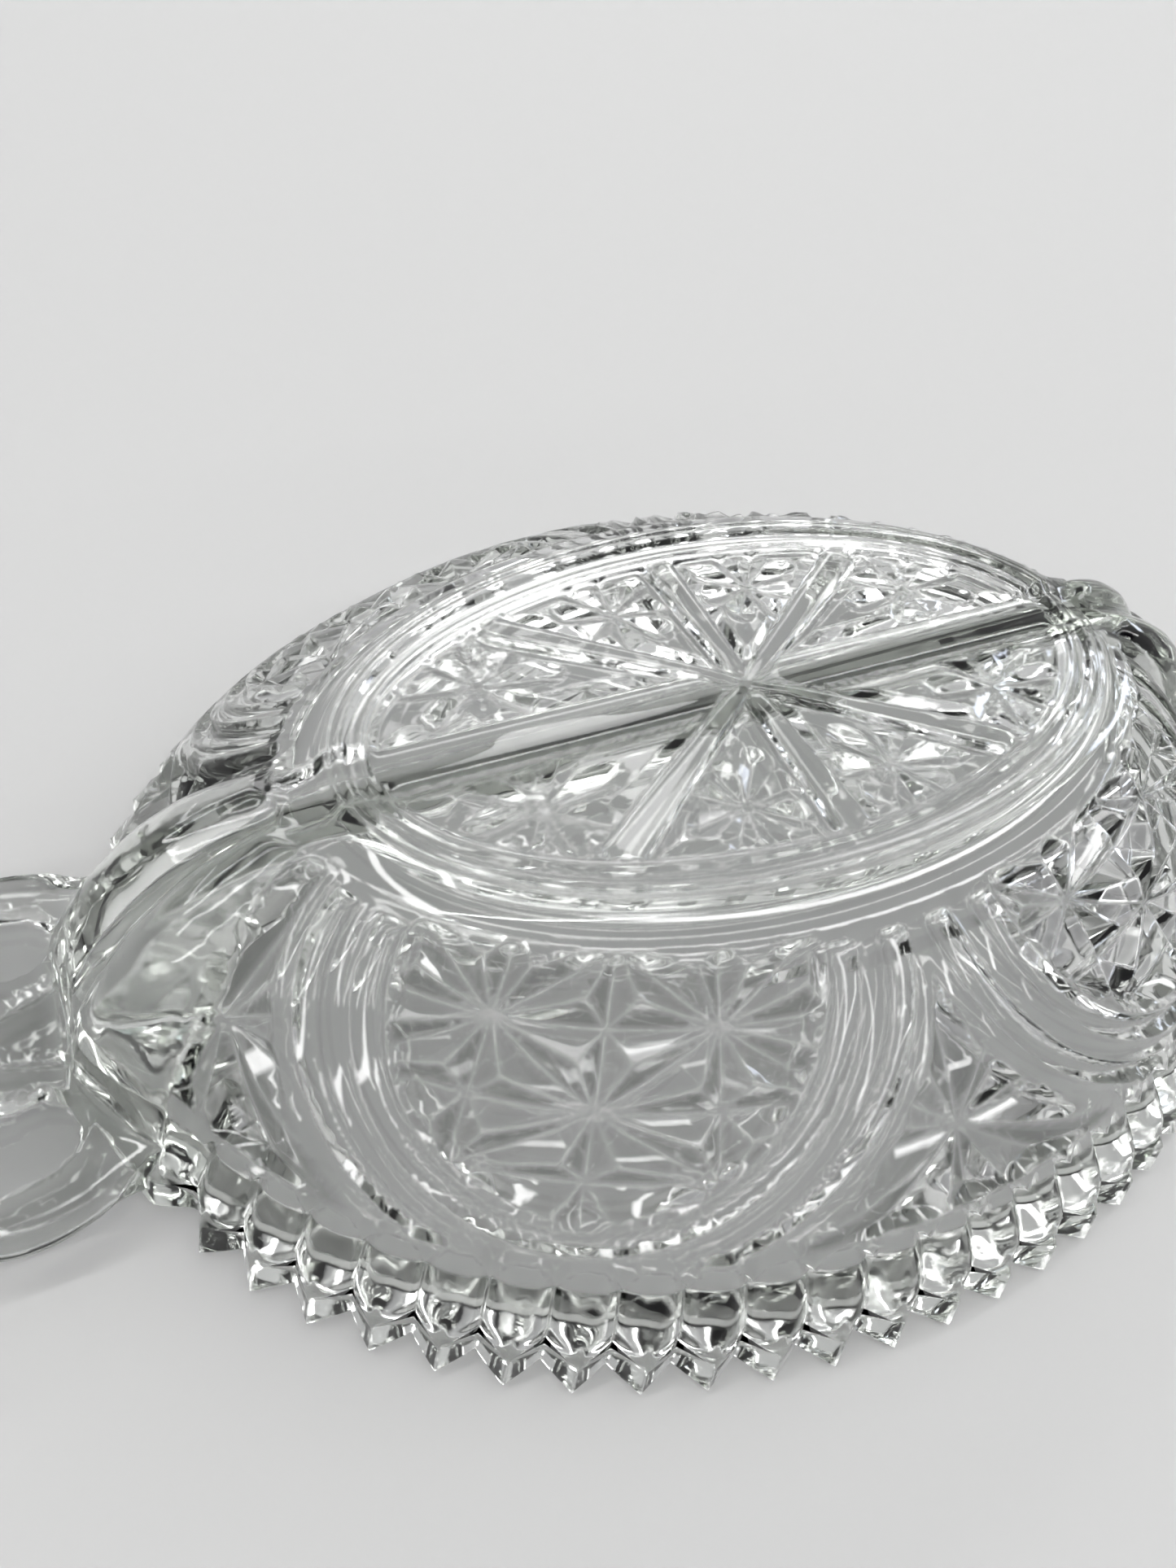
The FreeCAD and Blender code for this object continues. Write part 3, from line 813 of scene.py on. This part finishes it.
turned = np.where(np.arange(COLUMNS) == COLUMNS - 1, 2 * np.pi, 0)
middle_theta = cell_middles(wall_theta) + turned / 2
middle_valley = (VALLEY + np.roll(VALLEY, -1)) / 2
wall_middles = side_points(middle_theta, cell_middles(wall_station), middle_valley,
                           in_teeth & np.roll(in_teeth, -1))
tooth_rows = skin.add(np.stack(tooth_side_points((TOOTH_HEIGHT - 0.7, 5.3, HANDLE_LOW, 2.6, 0.8))))
mouth_length = HALF_LENGTH - TOOTH_DEPTH - WALL_THICKNESS + TOOTH_LEAN
mouth_width = HALF_WIDTH - TOOTH_DEPTH - WALL_THICKNESS + TOOTH_LEAN
rim_rings = []
outline = tooth_side_points((0.8,))[0]
for share in (0.08, 0.5, 0.95):
    goal = np.stack([mouth_length * np.cos(THETA), mouth_width * np.sin(THETA), np.zeros(COLUMNS)], -1)
    ring = outline + (goal - outline) * share
    ring[:, 2] = 0.0
    rim_rings.append(ring)
rim_rows = skin.add(np.stack(rim_rings))
shell = np.concatenate([outer, foot_rows, wall_rows, tooth_rows, rim_rows])

handle_top = len(outer) + len(foot_rows) + int(np.argmin(np.abs(wall_s - HANDLE_TOP_S)))
handle_bottom = len(outer) + len(foot_rows) + len(wall_rows) + 2
near_end = np.abs(HALF_WIDTH * np.sin(THETA)) < HANDLE_NECK
half_span = int(near_end.sum()) // 4
for end in (0, HALF_COLUMNS):
    columns = np.arange(end - half_span, end + half_span + 1) % COLUMNS
    across = np.linspace(-1, 1, len(columns))
    rows = np.arange(handle_top, handle_bottom + 1)
    upright = np.linspace(1, -1, len(rows))
    loop = np.concatenate([shell[handle_top, columns], shell[rows[1:-1], columns[-1]],
                           shell[handle_bottom, columns[::-1]], shell[rows[1:-1][::-1], columns[0]]])
    loop_across = np.concatenate([across, np.ones(len(rows) - 2), across[::-1], -np.ones(len(rows) - 2)])
    loop_upright = np.concatenate([np.ones(len(columns)), upright[1:-1], -np.ones(len(columns)),
                                   upright[1:-1][::-1]])
    root = skin.place(loop)
    side = -1 if end == 0 else 1
    root = root * (side, side, 1)
    rings, ring_painted_shades = handle_rings(root, loop_across, loop_upright)
    # the handle's points carry its painted shade
    numbers = skin.add(np.stack(rings) * (side, side, 1), ring_painted_shades)
    skin.grid(np.concatenate([loop[None], numbers]))

cells = np.ones((len(shell) - 1, COLUMNS), bool)
for end in (0, HALF_COLUMNS):
    cells[handle_top:handle_bottom, np.arange(end - half_span, end + half_span) % COLUMNS] = False
at = skin.place(shell)
middles = cell_middles(at)
wall_start = len(outer) + len(foot_rows)
middles[wall_start:wall_start + len(wall_middles)] = wall_middles
skin.grid(shell, cells=cells, middles=middles)

levels = cavity_levels()
inner_theta = THETA[::2]
half = len(inner_theta) // 2
u = (np.concatenate([inner_theta[:half], [0.0]]) + np.pi) / np.pi
level_rows = []
for length, width, z in levels:
    parted = float(smooth_step((z - levels[0][2]) / (DIVIDER_EDGE - levels[0][2])))
    corner = math.asin(divider_half(z) / width) * parted
    theta = -np.pi + corner + u * (np.pi - 2 * corner)
    # the end walls swell out inside too, so that the glass is about as thick there as elsewhere
    swollen = swelling(theta, z / FLOOR_Z) * smooth_step((z - 3) / 12) * np.cos(theta)
    level_rows.append(np.stack([length * np.cos(theta) + 0.85 * swollen, width * np.sin(theta),
                                np.full(len(u), z)], -1))
wall_part = np.stack(level_rows)
edge_level = int(np.argmax([z >= DIVIDER_EDGE for _, _, z in levels]))
floor_edge = wall_part[-1]
floor_rows = []
root_y = -divider_half(FLOOR_Z)
for share in (0.15, 0.32, 0.5, 0.68, 0.85):
    ring = floor_edge.copy()
    ring[:, 1] = floor_edge[:, 1] + (root_y - floor_edge[:, 1]) * share
    floor_rows.append(ring)
side_rows = []
for index in range(len(levels) - 1, edge_level - 1, -1):
    ring = wall_part[index].copy()
    ring[:, 0] = floor_edge[:, 0] / floor_edge[0, 0] * wall_part[index][0, 0]
    ring[:, 1] = -divider_half(levels[index][2])
    side_rows.append(ring)
near = np.concatenate([wall_part, np.stack(floor_rows), np.stack(side_rows)])
far = near * (1, -1, 1)
near_numbers, far_numbers = skin.add(near), skin.add(far)
skin.grid(near_numbers, closed=False)
skin.grid(far_numbers, closed=False)
across = np.linspace(-1, 1, EDGE_STEPS + 1)
edge_rows = []
for share in across:
    ring = side_rows[-1].copy()
    ring[:, 1] *= -share
    ring[:, 2] -= 0.8 * math.sqrt(1 - share ** 2)
    edge_rows.append(ring)
edge_rows = np.stack(edge_rows)
skin.grid(skin.add(edge_rows), closed=False)
for column in (0, -1):
    fill = []
    for index in range(edge_level):
        here = near[index, column]
        line = np.repeat(here[None], EDGE_STEPS + 1, 0)
        line[:, 1] = here[1] * -across
        fill.append(line)
    fill.append(edge_rows[:, column])
    skin.grid(skin.add(np.stack(fill)), closed=False)
mouth_ring = np.concatenate([near_numbers[0, :-1], far_numbers[0, ::-1][:-1]])
skin.halve(shell[-1], mouth_ring)

points = np.concatenate(skin.points)
triangles = np.concatenate(skin.faces)
_, first_seen, shared = np.unique(np.round(points * 500), axis=0, return_index=True, return_inverse=True)
points = points[first_seen] / 1000
painted_shades = np.concatenate(skin.painted_shades)[first_seen]
triangles = shared.ravel()[triangles]
proper = ((triangles[:, 0] != triangles[:, 1]) & (triangles[:, 1] != triangles[:, 2])
          & (triangles[:, 2] != triangles[:, 0]))
triangles = triangles[proper]

dish_mesh = bpy.data.meshes.new("pressed_glass_dish")
dish_mesh.vertices.add(len(points))
dish_mesh.vertices.foreach_set("co", points.astype(np.float32).ravel())
dish_mesh.loops.add(3 * len(triangles))
dish_mesh.loops.foreach_set("vertex_index", triangles.astype(np.int32).ravel())
dish_mesh.polygons.add(len(triangles))
dish_mesh.polygons.foreach_set("loop_start", np.arange(0, 3 * len(triangles), 3, dtype=np.int32))
dish_mesh.polygons.foreach_set("use_smooth", np.ones(len(triangles), bool))
# the 'tint' attribute holds the painted shade of the pattern and the handles, clear along the pattern's
# edges as painted highlight lines
dish_mesh.attributes.new("tint", "FLOAT", "POINT").data.foreach_set("value", painted_shades.astype(np.float32))
dish_mesh.update(calc_edges=True)
dish_mesh.validate()
work = bmesh.new()
work.from_mesh(dish_mesh)
bmesh.ops.recalc_face_normals(work, faces=work.faces)
CREASE = math.radians(17)
for seam in work.edges:
    seam.smooth = seam.calc_face_angle(0) < CREASE
work.to_mesh(dish_mesh)
work.free()
dish = bpy.data.objects.new("pressed_glass_dish", dish_mesh)
bpy.context.scene.collection.objects.link(dish)

glass, glass_nodes, glass_shader = new_material(
    "clear_pressed_glass", Base_Color=(1.0, 1.0, 1.0, 1), Roughness=0.0, IOR=1.51,
    Transmission_Weight=1.0)
# the glass's base colour is the painted shade from the 'tint' attribute, greying the light that passes
# through
painted_shade_attribute = glass_nodes.nodes.new("ShaderNodeAttribute")
painted_shade_attribute.attribute_name = "tint"
glass_nodes.links.new(painted_shade_attribute.outputs["Fac"], glass_shader.inputs["Base Color"])
rounded = glass_nodes.nodes.new("ShaderNodeBevel")
rounded.samples = 6
rounded.inputs["Radius"].default_value = 0.0007
glass_nodes.links.new(rounded.outputs[0], glass_shader.inputs["Normal"])
tint = glass_nodes.nodes.new("ShaderNodeVolumeAbsorption")
tint.inputs["Color"].default_value = (0.66, 0.73, 0.62, 1)
tint.inputs["Density"].default_value = 17.0
glass_nodes.links.new(tint.outputs[0], glass_nodes.nodes["Material Output"].inputs["Volume"])
dish_mesh.materials.append(glass)
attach(dish, "root")
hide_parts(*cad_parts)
